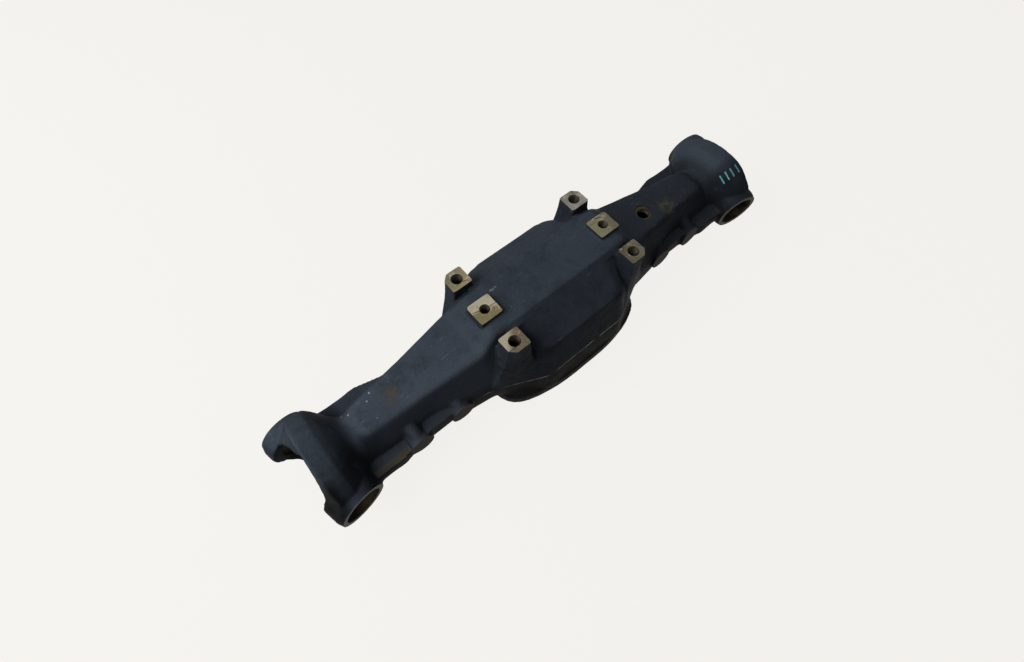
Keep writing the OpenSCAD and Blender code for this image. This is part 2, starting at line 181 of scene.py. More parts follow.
def screw(bm, place, r, low, high, pitch):
    """Closed screw: two helices, the thread's crest and its root, joined into strips and capped."""
    count = int((high - low) / pitch) * SCREW_ROUND
    crest, root = [], []
    for m in range(count + 1):
        a = 2 * math.pi * m / SCREW_ROUND
        z = low + m * pitch / SCREW_ROUND
        for row, radius, rise in ((crest, r, 0), (root, r + GROOVE * pitch, pitch / 2)):
            row.append(bm.verts.new(place @ Vector((radius * math.cos(a), radius * math.sin(a), z + rise))))
    for m in range(count):
        bm.faces.new([crest[m], crest[m + 1], root[m + 1], root[m]])
        if m + SCREW_ROUND < count:
            bm.faces.new([root[m], root[m + 1], crest[m + SCREW_ROUND + 1], crest[m + SCREW_ROUND]])
    last = count - SCREW_ROUND
    ends = ((low, [root[0], *crest[SCREW_ROUND::-1]]), (high + pitch, [*root[last:], crest[count]]))
    for z, loop in ends:
        tip = bm.verts.new(place @ Vector((0, 0, z)))
        for a, b in zip(loop, loop[1:] + loop[:1]):
            bm.faces.new([tip, a, b])


def block(bm, place, across, along, height):
    """Box on local z = 0, with half sizes across and along."""
    corners = [place @ Vector((i * across, j * along, k * height))
               for k in (0, 1) for i, j in ((-1, -1), (1, -1), (1, 1), (-1, 1))]
    v = [bm.verts.new(c) for c in corners]
    for face in ((3, 2, 1, 0), (4, 5, 6, 7), (0, 1, 5, 4), (1, 2, 6, 5), (2, 3, 7, 6), (3, 0, 4, 7)):
        bm.faces.new([v[i] for i in face])


def crease(bm, side, section, faded, full, last):
    """Wedge that fills a rounded edge of the body up to its corner and fades out at both ends."""
    rings = [[bm.verts.new((x * MM, side * y * MM, SHAFT_H + z * MM)) for y, z in outline]
             for x, outline in ((-last, faded), (-full, section), (full, section), (last, faded))]
    for low, high in zip(rings, rings[1:]):
        for i, j in ((0, 1), (1, 2), (2, 3), (3, 0)):
            bm.faces.new([low[i], low[j], high[j], high[i]])
    for ring in (rings[0], rings[-1]):
        bm.faces.new(ring)


# The rough casting

def machined_planes():
    """Each machined plane as its group, point, normal and the half sizes of what is milled off over it."""
    planes = [("pads", Vector((0, 0, PAD_H)), UP, *PAD_MILL), ("rims", Vector((0, 0, 0)), DOWN, *FLANGE_MILL)]
    for end in ENDS:
        for side in SIDES:
            name = f"{end}_{side}_bearing_seat"
            planes.append(("rims", mouth(name), aim(name), *EAR_MILL))
    for x in (-BOSS_X, BOSS_X):
        planes.append(("bosses", Vector((x, -BOSS_Y, SHAFT_H)), Vector((0, -1, 0)), *BOSS_MILL))
    return planes


def add_stock(bm):
    """Raises the machined faces by the metal that the machining takes off again."""
    for _, point, normal, _, _ in machined_planes():
        flat = [f for f in bm.faces if f.normal.dot(normal) > FACE_ALIKE
                and abs((f.calc_center_median() - point).dot(normal)) < FACE_NEAR]
        raised = bmesh.ops.extrude_face_region(bm, geom=flat)["geom"]
        bmesh.ops.translate(bm, verts=[v for v in raised if isinstance(v, bmesh.types.BMVert)],
                            vec=normal * STOCK)
        bmesh.ops.delete(bm, geom=flat, context="FACES")


def plug_holes(bm):
    """Closes the holes that the machining bores and taps again."""
    for name, depth in DEPTH.items():
        for hole in holes(name):
            drill(bm, placed(hole, aim(name)), size(name, "hole_r_mm") + SINK + PLUG, -depth - PLUG, STOCK)
    for end in ENDS:
        for side in SIDES:
            name = f"{end}_{side}_bearing_seat"
            drill(bm, placed(mouth(name), aim(name)), size(name) + SEAT_PLUG,
                  -size(name, "length_mm") - PLUG, STOCK)


def plug_filler(bm):
    """Closes the filler and its spot face, level with the sloping top of the arm."""
    at = mouth("filler")
    plug = drill(bm, placed(at, UP), FILLER_SPOT_R + PLUG, -size("filler", "length_mm"), FILLER_SPOT_L)
    for v in plug:
        if v.co.z > at.z:
            v.co.z -= FILLER_SLOPE * (v.co.x - at.x)


def rough_casting(cad):
    """The casting before its machining: stock on the machined faces and no drilled holes."""
    bm = bmesh.new()
    bm.from_mesh(cad.data)
    bmesh.ops.remove_doubles(bm, verts=bm.verts, dist=WELD)
    add_stock(bm)
    plug_holes(bm)
    for side in (-1, 1):
        for row in CREASES:
            crease(bm, side, *row)
    plug_filler(bm)
    mesh = bpy.data.meshes.new("rough_casting")
    bm.to_mesh(mesh)
    bm.free()
    return mesh


def settle(obj):
    """Applies the object's modifiers to its mesh."""
    shown = obj.evaluated_get(bpy.context.evaluated_depsgraph_get())
    made = bpy.data.meshes.new_from_object(shown)
    obj.modifiers.clear()
    obj.data = made


def vectors(rows, key):
    """The vectors that all rows of a mesh's collection hold under the key."""
    values = np.zeros(len(rows) * 3, np.float32)
    rows.foreach_get(key, values)
    return values.reshape(-1, 3)


def ease_corners(mesh):
    """Draws each point towards its neighbours: inner corners fill to fillets, outer edges wear less."""
    edges = np.zeros(len(mesh.edges) * 2, np.int32)
    mesh.edges.foreach_get("vertices", edges)
    a, b = edges.reshape(-1, 2).T
    count = len(mesh.vertices)
    degree = np.bincount(np.concatenate((a, b)), minlength=count)
    x = np.abs(vectors(mesh.vertices, "co")[:, 0])
    for rounds, first, last, over, wear in EASING:
        here = np.clip((x - first) / over + 0.5, 0, 1) * np.clip((last - x) / over + 0.5, 0, 1)
        for _ in range(rounds):
            co = vectors(mesh.vertices, "co")
            normal = vectors(mesh.vertex_normals, "vector")
            mean = np.stack([np.bincount(a, co[b, k], count) + np.bincount(b, co[a, k], count)
                             for k in range(3)], 1) / degree[:, None]
            move = EASE_STEP * (mean - co)
            outwards = (move * normal).sum(1)
            move *= (here * np.where(outwards > 0, 1.0, wear))[:, None]
            mesh.vertices.foreach_set("co", (co + move).astype(np.float32).ravel())
            mesh.update()


def swell(mesh):
    """Unevenness that the sand mould leaves."""
    normal = vectors(mesh.vertex_normals, "vector")
    for v, n in zip(mesh.vertices, normal):
        rise = sum(depth * noise.noise(v.co * often) for often, depth in SWELL)
        v.co += Vector(n) * rise
    mesh.update()


# What each machining step takes off

def cut(obj, name, fill, material):
    """Takes what fill draws off the object; the new faces get the material."""
    bm = bmesh.new()
    fill(bm)
    bmesh.ops.recalc_face_normals(bm, faces=bm.faces)
    mesh = bpy.data.meshes.new(name)
    bm.to_mesh(mesh)
    bm.free()
    mesh.materials.append(material)
    tool = bpy.data.objects.new(name, mesh)
    bpy.context.scene.collection.objects.link(tool)
    step = obj.modifiers.new(name, "BOOLEAN")
    step.operation = "DIFFERENCE"
    step.solver = "MANIFOLD"
    step.material_mode = "TRANSFER"
    step.object = tool
    settle(obj)
    bpy.data.objects.remove(tool)


def mill(group):
    """Milling of one group of the machined planes."""
    def fill(bm):
        for name, point, normal, across, along in machined_planes():
            if name == group:
                block(bm, placed(point, normal), across, along, 2 * STOCK)
    return fill


def bore_seats(bm):
    for end in ENDS:
        for side in SIDES:
            name = f"{end}_{side}_bearing_seat"
            drill(bm, placed(mouth(name), aim(name)), size(name), -size(name, "length_mm"), STOCK)
        name = f"{end}_seal_seat"
        drill(bm, placed(spot(name), aim(name)), size(name) + SKIM, -SEAL_IN,
              size(name, "length_mm") - SEAL_IN)
    opening = "carrier_opening"
    drill(bm, placed(Vector((0, 0, 0)), aim(opening)), size(opening) + SKIM,
          -size(opening, "length_mm"), STOCK, 2 * ROUND)
    drill(bm, placed(mouth("filler"), UP), FILLER_SPOT_R, 0, 3 * STOCK)


def bore_passages(bm):
    for end in ENDS:
        for side in SIDES:
            name = f"{end}_{side}_pin_passage"
            length = size(name, "length_mm")
            drill(bm, placed(spot(name), aim(name)), size(name) + SKIM, -length, length * PASSAGE_OUT)
        name = f"{end}_shaft_bore"
        length = size(name, "length_mm")
        drill(bm, placed(spot(name), aim(name)), size(name) + SKIM, -length, length)


def tap_holes(bm):
    for name, depth in DEPTH.items():
        for hole in holes(name):
            screw(bm, placed(hole, aim(name)), size(name, "hole_r_mm"), -depth, TAP_OUT, PITCH[name])
    length = size("filler", "length_mm")
    screw(bm, placed(mouth("filler"), UP), size("filler"), -length - STOCK, FILLER_OUT, FILLER_PITCH)


def sink_holes(bm):
    for name in DEPTH:
        for hole in holes(name):
            r = size(name, "hole_r_mm")
            lathe(bm, placed(hole, aim(name)),
                  [(0, -SINK), (r, -SINK), (r + SINK + SINK_OUT, SINK_OUT), (0, SINK_OUT)])


# Colours

def srgb(r, g, b):
    """Linear colour of an 8-bit screen colour."""
    lin = [c / 255 / 12.92 if c <= 10 else ((c / 255 + 0.055) / 1.055) ** 2.4 for c in (r, g, b)]
    return (*lin, 1.0)


# Primer on what looks sideways or down; its two shades on what looks up are lighter, as painted light
PRIMER_BELOW = srgb(35, 40, 47)
PRIMER_ABOVE = (srgb(60, 67, 77), srgb(67, 75, 86))
# Primer shades: mottled, painted light, painted shade, sand grain, chalky, painted shade in hollows, worn
# edges
MOTTLED = srgb(38, 42, 48)
PAINTED_LIGHT = srgb(72, 80, 90)
PAINTED_SHADE = srgb(24, 27, 31)
GRAINED = srgb(34, 38, 43)
CHALKY = srgb(80, 86, 94)
HOLLOW_SHADE = srgb(26, 28, 31)
WORN = srgb(84, 90, 97)
# Darkening low down and on the ears' near side, then what lies on the primer and what shows through it
LOW_BROWN = srgb(26, 24, 22)
EAR_NEAR_BLACK = srgb(15, 15, 15)
DUST = srgb(80, 73, 62)
SCRATCH = srgb(126, 134, 142)
SPECK = srgb(176, 182, 186)
CHIP = srgb(150, 152, 152)
SCRAPE = srgb(190, 190, 186)
BARE = srgb(140, 146, 150)
RUST = srgb(98, 66, 46)
TALLY_GREEN = srgb(104, 184, 182)
# Pads: between them, olive tarnish, pale scuffs, fine glints, rust and scribed lines
PAD_PLAIN = srgb(130, 124, 100)
PAD_OLIVE = srgb(106, 94, 58)
PAD_PALE = srgb(206, 200, 180)
PAD_GLINT = srgb(190, 184, 164)
PAD_RUST = srgb(92, 60, 40)
PAD_LINE = srgb(36, 28, 20)
# Other machined faces: their two shades
RIM_SHADES = (srgb(50, 45, 39), srgb(34, 30, 25))
BOSS_SHADES = (srgb(42, 37, 31), srgb(30, 26, 22))
# Taps and bores are darker than their metal, partly as painted shade inside the holes and bores
TAP_SHADES = (srgb(58, 51, 41), srgb(34, 28, 21))
BORE_SHADES = (srgb(30, 26, 21), srgb(18, 16, 14))
BORE_OLIVE = srgb(72, 66, 34)
# Background, and the grey by which the floor throws light back on the object
CREAM = srgb(246, 244, 240)
BOUNCE = (0.1, 0.1, 0.1, 1)

# Places of wear, painted light and painted shade, in mm: x along the axle, y across it, levels over the
# shafts

# Stretches along the axle as both ends and how softly they end; necks and rails lie at both ends of the axle
RIGHT_BELL = (535, 612, 16)
LEFT_ARM = (-480, -215, 25)
RIGHT_ARM = (250, 520, 30)
NECKS = (514, 546, 12)
RAILS = (440, 585, 12)
CHIPPED = (-520, -430, 12)
SCRAPED = (-262, 108, 18)
# Stretches over the shafts in the same way: the rails' tops and the mould's parting line
RAIL_TOP = (9, 14.5, 1)
PARTING = (-2.2, 2.4, 0.8)
# Changes along the axle from one place to the other
BELL_DARKENS = (525, 560)
LEFT_EAR = (-604, -578)
RIGHT_EAR = (592, 622)
DUST_THINS = (-50, 50)
SCRAPE_GROWS = (-160, 60)
BORES_TARNISH = (-300, 300)
# Changes across the axle
NEAR_SIDE = (-52, -18)
BELL_LIT_SIDE = (-40, -10)
EAR_SIDE = (-84, -60)
RAIL_SIDE = (-86, -80)
SCRAPE_SIDE = (-94, -90)
# Changes over the shafts
LIGHT_FROM = (0, 30)
LOW_DARK_ENDS = (-15, 45)
TOP_FROM = (20, 50)

# Spots: dusty brown, painted shade on a post under a pad, olive tarnish: middle, radius, colour and share
SPOTS = (((-412, 0, 175), 30, srgb(84, 74, 58), 0.6), ((-168, -114, 160), 75, srgb(24, 22, 20), 0.95),
         ((371, -28, 174), 34, srgb(92, 92, 62), 0.75))
SPOT_CORE = 0.25
# Turns of the scratches' directions, in radians
SCRATCH_TURNS = (0.2, 1.0, 1.9, 2.6)
# Strokes by both ends and the width: a bare patch and a rusty one by the pads, then the painted tally
BARE_STROKE = ((-127, 30, 234.5), (-114, 31, 234.5), 5)
RUST_STROKE = ((-175, -54, 230), (-156, -59, 232), 5)
TALLY = (((551, -45, 165), (551, -63, 155), 3.6), ((562, -48, 174), (561, -66, 165), 3.6),
         ((574, -51, 180), (573, -69, 171), 3.6), ((591, -52, 183), (590, -70, 174), 3.6))
# Pads by their middle: direction from the first tone to the second, where and how softly it changes, and
# both colours: tarnish, and painted reflection in the lighter one
PADS = (((-166, 93), (0.6, -0.8), 0, 22, srgb(112, 108, 86), srgb(150, 138, 104)),
        ((-166, 0), (-0.17, -0.985), 0, 3, srgb(182, 175, 152), srgb(120, 109, 72)),
        ((-166, -93), (-0.76, 0.65), 7, 9, srgb(98, 85, 64), srgb(176, 168, 144)),
        ((166, 93), (0, -1), 0, 16, srgb(124, 121, 112), srgb(146, 143, 136)),
        ((166, 0), (-1, 0), 0, 16, srgb(98, 92, 70), srgb(126, 120, 92)),
        ((166, -93), (1, 0), 0, 14, srgb(82, 75, 57), srgb(98, 96, 79)))
PAD_REACH = 40
PAD_TOP = PAD_H / MM
# Rust on a pad: its middle, and where it is full and has ended
PAD_RUST_AT = (149, -74, PAD_TOP)
PAD_RUST_REACH = (4, 14)
# Lines scribed or cracked on the pads: both ends and the width
SCRIBED = (((-176, 79), (-162, 81), 1.8), ((-162, 81), (-151, 78), 1.8), ((-190, 7), (-175, 3), 2.0),
           ((-153, -1), (-137, -2), 2.0), ((-172, -105), (-183, -105), 2.6),
           ((-183, -105), (-192, -106), 2.2), ((179, 118), (175, 105), 1.8), ((180, 90), (161, 82), 1.6),
           ((192, 87), (193, 75), 1.6), ((163, 23), (175, 18), 3.0), ((135, 16), (153, 15), 1.4),
           ((178, -69), (180, -78), 1.8), ((180, -78), (189, -96), 1.8), ((143, -67), (156, -72), 2.4),
           ((156, -72), (147, -81), 2.0))

# Patterns of noise: waves in a metre, detail, roughness and, where it has one, the stretch
CLOUDS = (11, 4, 0.6)
MOTTLING = (24, 5, 0.7)
SAND = (330, 2, 0.6)
SKIN = (95, 3)
BLOTCHES = (42, 4, 0.65)
SPOT_BREAKS = (75, 4, 0.7)
SCRATCHES = (150, 2, 0.5, (0.14, 1, 1))
SCRATCHED = (14, 2)
SCRAPE_BREAKS = (38, 3)
BARE_BREAKS = (260, 2)
RUST_BREAKS = (190, 3)
TALLY_BREAKS = (210, 2)
PAD_BLOTCHES = (55, 4, 0.65)
PAD_SCUFFS = (38, 4, 0.7)
PAD_SPARKLE = (420, 2, 0.6)
PAD_RUST_BREAKS = (120, 3)
PAD_TOOLING = (260, 2, 0.5, (1, 0.06, 1))
METAL_BLOTCHES = (60, 4, 0.65)
METAL_GRAIN = (500, 2)
BORE_BLOTCHES = (48, 4, 0.65)
BORE_STAINS = (30, 3, 0.6)
# Patterns of dots: cells in a metre, a dot's radius, the share of cells that have one, and a shift
SPECKS = (170, 0.12, 0.08)
CHIPS = (70, 0.2, 0.3, (3, 1, 2))
# Part of a dot's radius that is full, and part of a stroke's width over which it ends
DOT_CORE = 0.6
STROKE_SOFT = 0.35
# Depth of the sand's grain, the uneven skin, the pads' tool marks and the grain of other metal
SAND_DEPTH = 0.3 * MM
SKIN_DEPTH = 0.5 * MM
TOOLING_DEPTH = 0.08 * MM
GRAIN_DEPTH = 0.12 * MM
# Sockets of Blender's mix node for colours: share, first and second, and the result
MIX_INPUTS = (0, 6, 7)
MIX_RESULT = 2


# Materials

class Paint:
    """A material with short ways to make its nodes."""

    def __init__(self, name):
        self.material = bpy.data.materials.new(name)
        self.material.use_nodes = True
        self.tree = self.material.node_tree
        self.surface = self.tree.nodes["Principled BSDF"]
        self.at = self.node("ShaderNodeTexCoord").outputs["Object"]
        self.x, self.y, self.z = self.node("ShaderNodeSeparateXYZ", self.at).outputs

    def node(self, kind, *values, **settings):
        made = self.tree.nodes.new(kind)
        for key, value in settings.items():
            setattr(made, key, value)
        for socket, value in zip(made.inputs, values):
            self.put(socket, value)
        return made

    def put(self, socket, value):
        if isinstance(value, bpy.types.NodeSocket):
            self.tree.links.new(value, socket)
        else:
            socket.default_value = value

    def math(self, operation, *values, clamp=False):
        return self.node("ShaderNodeMath", *values, operation=operation, use_clamp=clamp).outputs[0]

    def product(self, *values):
        total = values[0]
        for value in values[1:]:
            total = self.math("MULTIPLY", total, value)
        return total

    def most(self, *values):
        top = values[0]
        for value in values[1:]:
            top = self.math("MAXIMUM", top, value)
        return top

    def ramp(self, value, low, high, first=0.0, last=1.0):
        """first below low, last above high, eased between."""
        return self.node("ShaderNodeMapRange", value, low, high, first, last,
                         interpolation_type="SMOOTHSTEP").outputs[0]

    def fade(self, value, low, high, first=0.0, last=1.0):
        """Ramp between two places in millimetres."""
        return self.ramp(value, low * MM, high * MM, first, last)

    def band(self, value, low, high, soft):
        """1 between two places in millimetres, 0 outside."""
        low, high, soft = low * MM, high * MM, soft * MM
        return self.product(self.ramp(value, low - soft, low + soft),
                            self.ramp(value, high - soft, high + soft, 1, 0))

    def noise(self, often, detail=3.0, rough=0.55, stretch=None, turn=(0, 0, 0), shift=(0, 0, 0)):
        where = self.at
        if stretch or any(turn) or any(shift):
            where = self.node("ShaderNodeMapping", where, shift, turn, stretch or (1, 1, 1)).outputs[0]
        made = self.node("ShaderNodeTexNoise")
        self.put(made.inputs["Vector"], where)
        self.put(made.inputs["Scale"], often)
        self.put(made.inputs["Detail"], detail)
        self.put(made.inputs["Roughness"], rough)
        return made.outputs[0]

    def specks(self, often, radius, share, shift=(0, 0, 0)):
        """Small dots in a share of the cells of a random pattern."""
        where = self.node("ShaderNodeMapping", self.at, shift).outputs[0]
        cells = self.node("ShaderNodeTexVoronoi")
        self.put(cells.inputs["Vector"], where)
        self.put(cells.inputs["Scale"], often)
        chosen = self.node("ShaderNodeSeparateColor", cells.outputs["Color"]).outputs[0]
        return self.product(self.ramp(cells.outputs["Distance"], radius * DOT_CORE, radius, 1, 0),
                            self.math("LESS_THAN", chosen, share))

    def stroke(self, a, b, width):
        """Mask of a straight stroke from a to b, all in millimetres."""
        a, b, width = Vector(a) * MM, Vector(b) * MM, width * MM
        run = b - a
        off = self.node("ShaderNodeVectorMath", self.at, a, operation="SUBTRACT").outputs[0]
        along = self.node("ShaderNodeVectorMath", off, run / run.length_squared, operation="DOT_PRODUCT")
        share = self.math("ADD", along.outputs["Value"], 0.0, clamp=True)
        foot = self.node("ShaderNodeVectorMath", run, operation="SCALE")
        self.put(foot.inputs["Scale"], share)
        gap = self.node("ShaderNodeVectorMath", off, foot.outputs[0], operation="DISTANCE").outputs["Value"]
        return self.ramp(gap, width * (0.5 - STROKE_SOFT / 2), width * (0.5 + STROKE_SOFT / 2), 1, 0)

    def gap(self, at):
        """Distance from a place given in millimetres."""
        apart = self.node("ShaderNodeVectorMath", self.at, Vector(at) * MM, operation="DISTANCE")
        return apart.outputs["Value"]

    def mix(self, share, a, b):
        made = self.node("ShaderNodeMix", data_type="RGBA")
        for i, value in zip(MIX_INPUTS, (share, a, b)):
            self.put(made.inputs[i], value)
        return made.outputs[MIX_RESULT]

    def coats(self, colour, layers):
        """The colour under layers of (share, colour), from the lowest up."""
        for share, tint in layers:
            colour = self.mix(share, colour, tint)
        return colour

    def bump(self, height, depth, under=None):
        made = self.node("ShaderNodeBump")
        self.put(made.inputs["Strength"], 1.0)
        self.put(made.inputs["Distance"], depth)
        self.put(made.inputs["Height"], height)
        if under is not None:
            self.put(made.inputs["Normal"], under)
        return made.outputs[0]

    def finish(self, **inputs):
        for key, value in inputs.items():
            self.put(self.surface.inputs[key.replace("_", " ")], value)
        return self.material


class CastPaint(Paint):
    """Dark blue-grey primer on sand-cast iron, scuffed, specked, with painted light above and dark brown
    below.
    """

    def __init__(self):
        super().__init__("cast_paint")
        shape = self.node("ShaderNodeNewGeometry")
        self.bend = shape.outputs["Pointiness"]
        self.up = self.node("ShaderNodeSeparateXYZ", shape.outputs["Normal"]).outputs[2]
        self.upward = self.ramp(self.up, 0.5, 0.98)
        self.level = self.math("SUBTRACT", self.z, SHAFT_H)
        self.along = self.math("ABSOLUTE", self.x)
        self.grain = self.noise(*SAND)
        self.blotch = self.noise(*BLOTCHES)
        self.top = self.product(self.upward, self.fade(self.level, *TOP_FROM))

    def primer(self):
        cloud = self.ramp(self.noise(*CLOUDS), 0.3, 0.7)
        # Lighter where it looks up: painted light from above
        return self.mix(self.upward, PRIMER_BELOW, self.mix(cloud, *PRIMER_ABOVE))

    def shades(self):
        """Mottling, stretches of painted light and painted shade, the sand's grain and chalky blotches."""
        mottled = self.ramp(self.noise(*MOTTLING, shift=(7, 2, 3)), 0.5, 0.66, 0, 0.35)
        nearside = self.fade(self.y, *NEAR_SIDE, 1, 0)
        # Painted light: lighter on the far side of the right bell and on the near side of the left arm
        faded = self.most(
            self.product(self.band(self.x, *RIGHT_BELL), self.fade(self.y, *BELL_LIT_SIDE), 0.6),
            self.product(self.band(self.x, *LEFT_ARM), nearside, 0.5))
        # Painted shade: darker on the right bell's near side, in the necks behind the bells and on the right
        # arm, most on its sides
        shade_mask = self.most(
            self.product(self.fade(self.x, *BELL_DARKENS), nearside),
            self.product(self.band(self.along, *NECKS), 0.8),
            self.product(self.band(self.x, *RIGHT_ARM), self.ramp(self.up, 0.9, 0.98, 1, 0.6)))
        return ((mottled, MOTTLED),
                (self.product(faded, self.fade(self.level, *LIGHT_FROM)), PAINTED_LIGHT),
                (self.product(shade_mask, 0.62), PAINTED_SHADE),
                (self.ramp(self.grain, 0.48, 0.75, 0, 0.3), GRAINED),
                (self.ramp(self.blotch, 0.55, 0.75, 0, 0.25), CHALKY))

    def darkening_and_wear(self):
        """Brown low down, near black on the ears towards the camera, painted shade in hollows, worn edges."""
        # Darker brown towards the bottom, most where the surface does not look up
        low_dark = self.product(self.fade(self.level, *LOW_DARK_ENDS, 1, 0), self.ramp(self.up, 0.6, 0.9, 1, 0.3))
        # Near black on the ears' side towards the camera
        ear = self.product(
            self.most(self.fade(self.x, *LEFT_EAR, 1, 0), self.product(self.fade(self.x, *RIGHT_EAR), 0.7)),
            self.fade(self.y, *EAR_SIDE, 1, 0))
        worn = self.product(self.ramp(self.bend, 0.51, 0.56), self.ramp(self.blotch, 0.4, 0.6, 0.1, 0.5))
        return ((self.product(low_dark, self.ramp(self.blotch, 0.25, 0.6, 0.6, 0.95)), LOW_BROWN),
                (self.product(ear, self.ramp(self.blotch, 0.3, 0.6, 0.8, 1)), EAR_NEAR_BLACK),
                # Painted shade in hollows
                (self.ramp(self.bend, 0.44, 0.5, 0.5, 0), HOLLOW_SHADE),
                (worn, WORN))

    def dust_and_shade(self):
        """Dusty brown on the rails' tops, then the spots, one of them painted shade."""
        rail = self.product(self.band(self.level, *RAIL_TOP), self.fade(self.y, *RAIL_SIDE, 1, 0),
                            self.band(self.along, *RAILS), self.upward,
                            self.fade(self.x, *DUST_THINS, 1, 0.2))
        layers = [(self.product(rail, self.ramp(self.blotch, 0.3, 0.6, 0.4, 0.9)), DUST)]
        # The second spot is painted shade on the post under the near left pad
        for at, reach, tint, share in SPOTS:
            near = self.fade(self.gap(at), reach * SPOT_CORE, reach, 1, 0)
            broken = self.ramp(self.noise(*SPOT_BREAKS), 0.42, 0.58, 0, share)
            layers.append((self.product(near, broken), tint))
        return layers

    def scuffs(self):
        """Scratches and specks on what looks up, chips at the arm's end, the scraped parting line."""
        patches = self.ramp(self.noise(*SCRATCHED), 0.45, 0.6, 0.15, 1)
        lines = [self.ramp(self.noise(*SCRATCHES, (0, 0, turn), (turn, 0, 0)), 0.7, 0.76)
                 for turn in SCRATCH_TURNS]
        chips = self.product(self.specks(*CHIPS), self.band(self.x, *CHIPPED), self.top)
        scrape = self.product(self.band(self.level, *PARTING), self.band(self.x, *SCRAPED),
                              self.fade(self.y, *SCRAPE_SIDE, 1, 0),
                              self.ramp(self.noise(*SCRAPE_BREAKS), 0.36, 0.54),
                              self.fade(self.x, *SCRAPE_GROWS, 0.35, 1))
        return ((self.product(self.most(*lines), patches, self.top, 0.3), SCRATCH),
                (self.product(self.specks(*SPECKS), self.top, 0.55), SPECK),
                (self.product(chips, 0.8), CHIP),
                (scrape, SCRAPE))

    def marks(self):
        """Bare and rusty patches by the pads, and the tally painted by hand."""
        bare = self.product(self.stroke(*BARE_STROKE),
                            self.ramp(self.noise(*BARE_BREAKS), 0.38, 0.56, 0, 0.7))
        rust = self.product(self.stroke(*RUST_STROKE),
                            self.ramp(self.noise(*RUST_BREAKS), 0.4, 0.55, 0, 0.7))
        tally = self.product(self.most(*(self.stroke(*row) for row in TALLY)),
                             self.ramp(self.noise(*TALLY_BREAKS), 0.3, 0.5, 0.55, 0.95))
        return ((bare, BARE), (rust, RUST), (tally, TALLY_GREEN))


def cast_paint():
    p = CastPaint()
    layers = (*p.shades(), *p.darkening_and_wear(), *p.dust_and_shade(), *p.scuffs(), *p.marks())
    normal = p.bump(p.noise(*SKIN), SKIN_DEPTH, p.bump(p.grain, SAND_DEPTH))
    return p.finish(Base_Color=p.coats(p.primer(), layers), Roughness=p.ramp(p.blotch, 0.2, 0.8, 0.56, 0.72),
                    Normal=normal, Specular_IOR_Level=0.03)


def pad_metal():
    """Bare machined pads, each with its own tarnish and painted reflection, and the scribed and cracked lines
    on them.
    """
    p = Paint("pad_metal")
    blotch = p.noise(*PAD_BLOTCHES)
    colour = PAD_PLAIN
    # Each pad's two tones: tarnish, and painted reflection in the lighter one
    for (x, y), (run, rise), level, soft, first, second in PADS:
        here = p.product(p.band(p.x, x - PAD_REACH, x + PAD_REACH, 1),
                         p.band(p.y, y - PAD_REACH, y + PAD_REACH, 1))
        across = p.math("ADD", p.product(p.math("SUBTRACT", p.x, x * MM), run),
                        p.product(p.math("SUBTRACT", p.y, y * MM), rise))
        wavy = p.math("ADD", across, p.product(p.math("SUBTRACT", blotch, 0.5), 2 * soft * MM))
        colour = p.mix(here, colour, p.mix(p.fade(wavy, level - soft, level + soft), first, second))
    rust = p.product(p.fade(p.gap(PAD_RUST_AT), *PAD_RUST_REACH, 1, 0),
                     p.ramp(p.noise(*PAD_RUST_BREAKS), 0.42, 0.55))
    lines = p.most(*(p.stroke((*a, PAD_TOP), (*b, PAD_TOP), width) for a, b, width in SCRIBED))
    colour = p.coats(colour, (
        (p.ramp(blotch, 0.5, 0.72, 0, 0.5), PAD_OLIVE),
        (p.ramp(p.noise(*PAD_SCUFFS, shift=(4, 1, 0)), 0.54, 0.66, 0, 0.45), PAD_PALE),
        (p.ramp(p.noise(*PAD_SPARKLE), 0.5, 0.72, 0, 0.2), PAD_GLINT),
        (p.product(rust, 0.8), PAD_RUST),
        (p.product(lines, 0.85), PAD_LINE)))
    return p.finish(Base_Color=colour, Roughness=p.ramp(blotch, 0.3, 0.7, 0.42, 0.6),
                    Normal=p.bump(p.noise(*PAD_TOOLING), TOOLING_DEPTH), Metallic=0.25)


def plain_metal(name, shades, rough, metallic):
    """Machined face in two shades."""
    p = Paint(name)
    colour = p.mix(p.ramp(p.noise(*METAL_BLOTCHES), 0.35, 0.7), *shades)
    return p.finish(Base_Color=colour, Roughness=rough, Normal=p.bump(p.noise(*METAL_GRAIN), GRAIN_DEPTH),
                    Metallic=metallic, Specular_IOR_Level=0.1)


def bore_metal():
    """Dark, oily bores, partly painted shade inside them, with olive and brown tarnish."""
    p = Paint("bore_metal")
    colour = p.mix(p.ramp(p.noise(*BORE_BLOTCHES), 0.35, 0.6), *BORE_SHADES)
    olive = p.product(p.ramp(p.noise(*BORE_STAINS, shift=(2, 5, 1)), 0.46, 0.62),
                      p.fade(p.x, *BORES_TARNISH, 0.45, 0.95))
    return p.finish(Base_Color=p.mix(olive, colour, BORE_OLIVE), Roughness=0.5,
                    Normal=p.bump(p.noise(*METAL_GRAIN), GRAIN_DEPTH), Specular_IOR_Level=0.2)


# The housing

def cast():
    """The rough casting with its sand-cast skin and eased corners."""
    obj = bpy.data.objects.new("cast_housing", rough_casting(frame["nodes"][NODE]))
    bpy.context.scene.collection.objects.link(obj)
    skin = obj.modifiers.new("skin", "REMESH")
    skin.mode = "VOXEL"
    skin.voxel_size = VOXEL
    settle(obj)
    ease_corners(obj.data)
    swell(obj.data)
    thin = obj.modifiers.new("thin", "DECIMATE")
    thin.ratio = min(1.0, TRIANGLES / (2 * len(obj.data.polygons)))
    settle(obj)
    obj.data.materials.append(cast_paint())
    return obj


